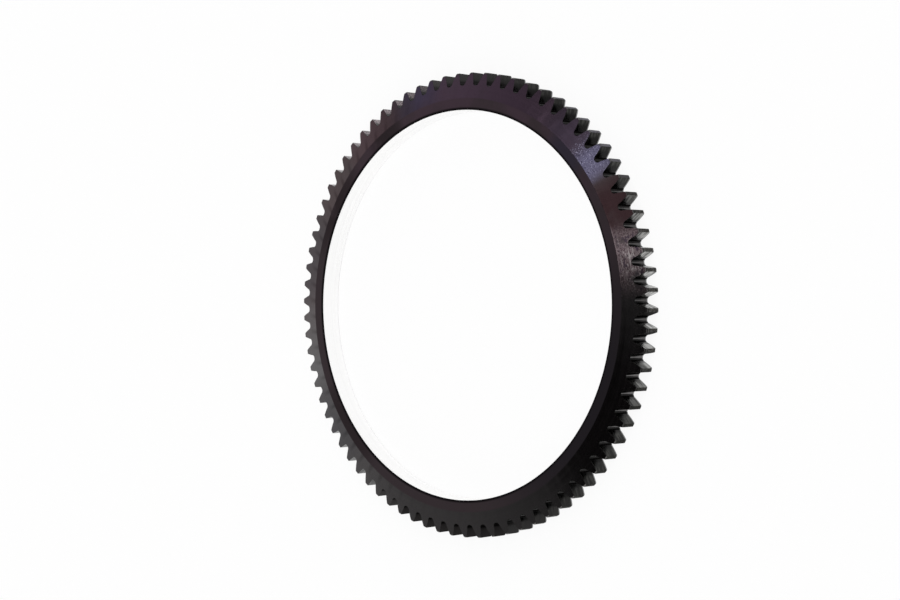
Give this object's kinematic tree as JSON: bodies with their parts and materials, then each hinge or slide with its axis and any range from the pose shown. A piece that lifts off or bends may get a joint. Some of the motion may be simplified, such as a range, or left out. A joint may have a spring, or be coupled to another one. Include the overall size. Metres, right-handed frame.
{
  "type": "flywheel ring gear",
  "caption": "Narrow steel ring with external spur teeth, a shallow cone across one side of the teeth and a large plain bore.",
  "frame": {"origin": "centre of the bore on the plain rear face, which the ring lies on", "axes": "+Z along the ring's axis, out of the bevelled face; +X through the middle of a tooth"},
  "size_m": [0.24, 0.2398, 0.012],
  "materials": {
    "ring_steel": "turned and hobbed steel, oil-blackened and heat-tinted brown to violet, with a bright machined bore"
  },
  "bodies": {
    "root": {"ring_gear": "ring_steel"}
  },
  "joints": []
}
